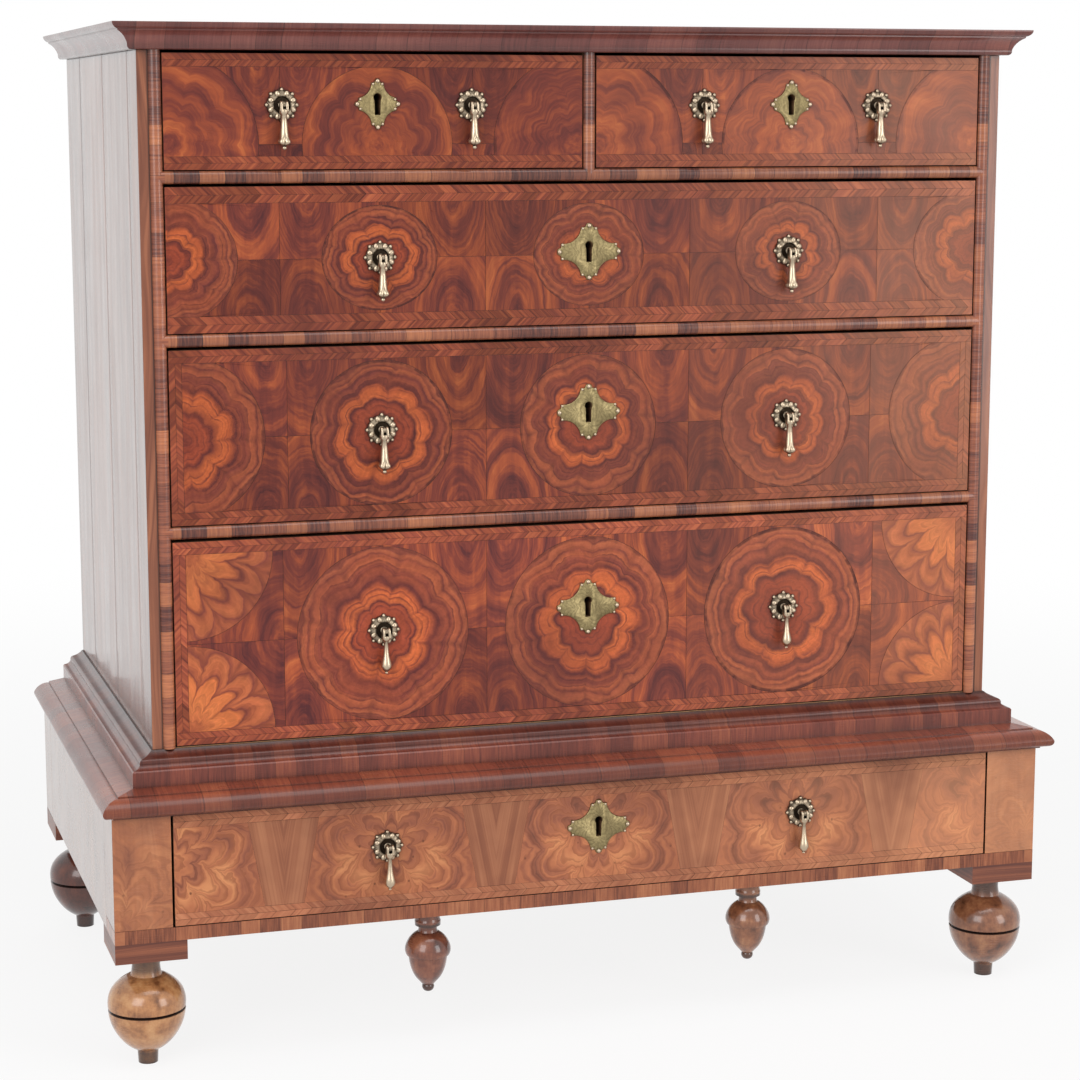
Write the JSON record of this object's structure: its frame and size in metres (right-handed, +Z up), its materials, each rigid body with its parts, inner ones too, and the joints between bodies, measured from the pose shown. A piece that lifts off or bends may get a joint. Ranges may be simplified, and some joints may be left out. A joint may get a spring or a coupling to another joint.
{
  "type": "chest on stand",
  "caption": "Oyster-veneered walnut chest of drawers on a low drawered stand with ball feet, acorn pendants, brass drop pulls and keyhole plates.",
  "frame": {"origin": "on the floor, under the middle of the outer box", "axes": "+Z up, -Y towards the viewer through the drawer fronts, +X to the viewer's right"},
  "size_m": [1.0836, 0.6068, 1.0895],
  "materials": {
    "oyster_walnut": "polished oyster-cut walnut veneer, red-brown with dark rings",
    "burr_walnut": "polished burr walnut veneer, yellow-brown",
    "figured_walnut": "polished straight walnut veneer",
    "stand_walnut": "polished walnut, yellow-brown",
    "cross_grain_walnut": "polished cross-grained walnut in short lengths",
    "turned_walnut": "turned and polished walnut",
    "carcass_pine": "unpolished old pine",
    "drawer_oak": "unpolished old oak",
    "antique_brass": "cast brass, dulled with age",
    "lock_iron": "dark wrought iron"
  },
  "bodies": {
    "case": {"chest_sides": "figured_walnut", "chest_top_board": "figured_walnut", "chest_bottom_board": "carcass_pine", "chest_back_boards": "carcass_pine", "cornice_moulding": "cross_grain_walnut", "drawer_rails": "carcass_pine", "short_drawer_divider": "carcass_pine", "drawer_opening_beads": "cross_grain_walnut", "drawer_runners": "carcass_pine", "base_moulding": "cross_grain_walnut", "stand_moulding": "cross_grain_walnut", "stand_posts": "stand_walnut", "stand_panels": "stand_walnut", "stand_front_rail": "cross_grain_walnut", "stand_top_board": "carcass_pine", "foot_blocks": "stand_walnut", "ball_feet": "turned_walnut", "acorn_pendants": "turned_walnut"},
    "top_left_drawer": {"top_left_drawer_front": "oyster_walnut", "top_left_drawer_box": "drawer_oak", "top_left_drawer_fittings": "antique_brass", "top_left_drawer_lock_case": "lock_iron"},
    "top_left_drawer_lock_bolt": {"top_left_drawer_lock_bolt": "lock_iron"},
    "top_left_drawer_drop_left": {"top_left_drawer_drop_left": "antique_brass"},
    "top_left_drawer_drop_right": {"top_left_drawer_drop_right": "antique_brass"},
    "top_right_drawer": {"top_right_drawer_front": "oyster_walnut", "top_right_drawer_box": "drawer_oak", "top_right_drawer_fittings": "antique_brass", "top_right_drawer_lock_case": "lock_iron"},
    "top_right_drawer_lock_bolt": {"top_right_drawer_lock_bolt": "lock_iron"},
    "top_right_drawer_drop_left": {"top_right_drawer_drop_left": "antique_brass"},
    "top_right_drawer_drop_right": {"top_right_drawer_drop_right": "antique_brass"},
    "upper_drawer": {"upper_drawer_front": "oyster_walnut", "upper_drawer_box": "drawer_oak", "upper_drawer_fittings": "antique_brass", "upper_drawer_lock_case": "lock_iron"},
    "upper_drawer_lock_bolt": {"upper_drawer_lock_bolt": "lock_iron"},
    "upper_drawer_drop_left": {"upper_drawer_drop_left": "antique_brass"},
    "upper_drawer_drop_right": {"upper_drawer_drop_right": "antique_brass"},
    "middle_drawer": {"middle_drawer_front": "oyster_walnut", "middle_drawer_box": "drawer_oak", "middle_drawer_fittings": "antique_brass", "middle_drawer_lock_case": "lock_iron"},
    "middle_drawer_lock_bolt": {"middle_drawer_lock_bolt": "lock_iron"},
    "middle_drawer_drop_left": {"middle_drawer_drop_left": "antique_brass"},
    "middle_drawer_drop_right": {"middle_drawer_drop_right": "antique_brass"},
    "lower_drawer": {"lower_drawer_front": "oyster_walnut", "lower_drawer_box": "drawer_oak", "lower_drawer_fittings": "antique_brass", "lower_drawer_lock_case": "lock_iron"},
    "lower_drawer_lock_bolt": {"lower_drawer_lock_bolt": "lock_iron"},
    "lower_drawer_drop_left": {"lower_drawer_drop_left": "antique_brass"},
    "lower_drawer_drop_right": {"lower_drawer_drop_right": "antique_brass"},
    "stand_drawer": {"stand_drawer_front": "burr_walnut", "stand_drawer_box": "drawer_oak", "stand_drawer_fittings": "antique_brass", "stand_drawer_lock_case": "lock_iron"},
    "stand_drawer_lock_bolt": {"stand_drawer_lock_bolt": "lock_iron"},
    "stand_drawer_drop_left": {"stand_drawer_drop_left": "antique_brass"},
    "stand_drawer_drop_right": {"stand_drawer_drop_right": "antique_brass"}
  },
  "joints": [
    {"name": "top_left_drawer_slide", "type": "slide", "parent": "case", "child": "top_left_drawer", "axis": [0, -1, 0], "range_m": [0, 0.38]},
    {"name": "top_left_drawer_lock_bolt_slide", "type": "slide", "parent": "top_left_drawer", "child": "top_left_drawer_lock_bolt", "axis": [0, 0, 1], "range_m": [0, 0.009]},
    {"name": "top_left_drawer_drop_left_hinge", "type": "hinge", "parent": "top_left_drawer", "child": "top_left_drawer_drop_left", "pos_m": [-0.332, -0.2536, 1.0075], "axis": [-1, 0, 0], "range_deg": [0, 95]},
    {"name": "top_left_drawer_drop_right_hinge", "type": "hinge", "parent": "top_left_drawer", "child": "top_left_drawer_drop_right", "pos_m": [-0.13, -0.2536, 1.0075], "axis": [-1, 0, 0], "range_deg": [0, 95]},
    {"name": "top_right_drawer_slide", "type": "slide", "parent": "case", "child": "top_right_drawer", "axis": [0, -1, 0], "range_m": [0, 0.38]},
    {"name": "top_right_drawer_lock_bolt_slide", "type": "slide", "parent": "top_right_drawer", "child": "top_right_drawer_lock_bolt", "axis": [0, 0, 1], "range_m": [0, 0.009]},
    {"name": "top_right_drawer_drop_left_hinge", "type": "hinge", "parent": "top_right_drawer", "child": "top_right_drawer_drop_left", "pos_m": [0.13, -0.2536, 1.0075], "axis": [-1, 0, 0], "range_deg": [0, 95]},
    {"name": "top_right_drawer_drop_right_hinge", "type": "hinge", "parent": "top_right_drawer", "child": "top_right_drawer_drop_right", "pos_m": [0.332, -0.2536, 1.0075], "axis": [-1, 0, 0], "range_deg": [0, 95]},
    {"name": "upper_drawer_slide", "type": "slide", "parent": "case", "child": "upper_drawer", "axis": [0, -1, 0], "range_m": [0, 0.38]},
    {"name": "upper_drawer_lock_bolt_slide", "type": "slide", "parent": "upper_drawer", "child": "upper_drawer_lock_bolt", "axis": [0, 0, 1], "range_m": [0, 0.009]},
    {"name": "upper_drawer_drop_left_hinge", "type": "hinge", "parent": "upper_drawer", "child": "upper_drawer_drop_left", "pos_m": [-0.23, -0.2536, 0.8505], "axis": [-1, 0, 0], "range_deg": [0, 95]},
    {"name": "upper_drawer_drop_right_hinge", "type": "hinge", "parent": "upper_drawer", "child": "upper_drawer_drop_right", "pos_m": [0.23, -0.2536, 0.8505], "axis": [-1, 0, 0], "range_deg": [0, 95]},
    {"name": "middle_drawer_slide", "type": "slide", "parent": "case", "child": "middle_drawer", "axis": [0, -1, 0], "range_m": [0, 0.38]},
    {"name": "middle_drawer_lock_bolt_slide", "type": "slide", "parent": "middle_drawer", "child": "middle_drawer_lock_bolt", "axis": [0, 0, 1], "range_m": [0, 0.009]},
    {"name": "middle_drawer_drop_left_hinge", "type": "hinge", "parent": "middle_drawer", "child": "middle_drawer_drop_left", "pos_m": [-0.23, -0.2536, 0.6695], "axis": [-1, 0, 0], "range_deg": [0, 95]},
    {"name": "middle_drawer_drop_right_hinge", "type": "hinge", "parent": "middle_drawer", "child": "middle_drawer_drop_right", "pos_m": [0.23, -0.2536, 0.6695], "axis": [-1, 0, 0], "range_deg": [0, 95]},
    {"name": "lower_drawer_slide", "type": "slide", "parent": "case", "child": "lower_drawer", "axis": [0, -1, 0], "range_m": [0, 0.38]},
    {"name": "lower_drawer_lock_bolt_slide", "type": "slide", "parent": "lower_drawer", "child": "lower_drawer_lock_bolt", "axis": [0, 0, 1], "range_m": [0, 0.009]},
    {"name": "lower_drawer_drop_left_hinge", "type": "hinge", "parent": "lower_drawer", "child": "lower_drawer_drop_left", "pos_m": [-0.23, -0.2536, 0.454], "axis": [-1, 0, 0], "range_deg": [0, 95]},
    {"name": "lower_drawer_drop_right_hinge", "type": "hinge", "parent": "lower_drawer", "child": "lower_drawer_drop_right", "pos_m": [0.23, -0.2536, 0.454], "axis": [-1, 0, 0], "range_deg": [0, 95]},
    {"name": "stand_drawer_slide", "type": "slide", "parent": "case", "child": "stand_drawer", "axis": [0, -1, 0], "range_m": [0, 0.38]},
    {"name": "stand_drawer_lock_bolt_slide", "type": "slide", "parent": "stand_drawer", "child": "stand_drawer_lock_bolt", "axis": [0, 0, 1], "range_m": [0, 0.009]},
    {"name": "stand_drawer_drop_left_hinge", "type": "hinge", "parent": "stand_drawer", "child": "stand_drawer_drop_left", "pos_m": [-0.238, -0.2932, 0.227], "axis": [-1, 0, 0], "range_deg": [0, 95]},
    {"name": "stand_drawer_drop_right_hinge", "type": "hinge", "parent": "stand_drawer", "child": "stand_drawer_drop_right", "pos_m": [0.238, -0.2932, 0.227], "axis": [-1, 0, 0], "range_deg": [0, 95]}
  ]
}
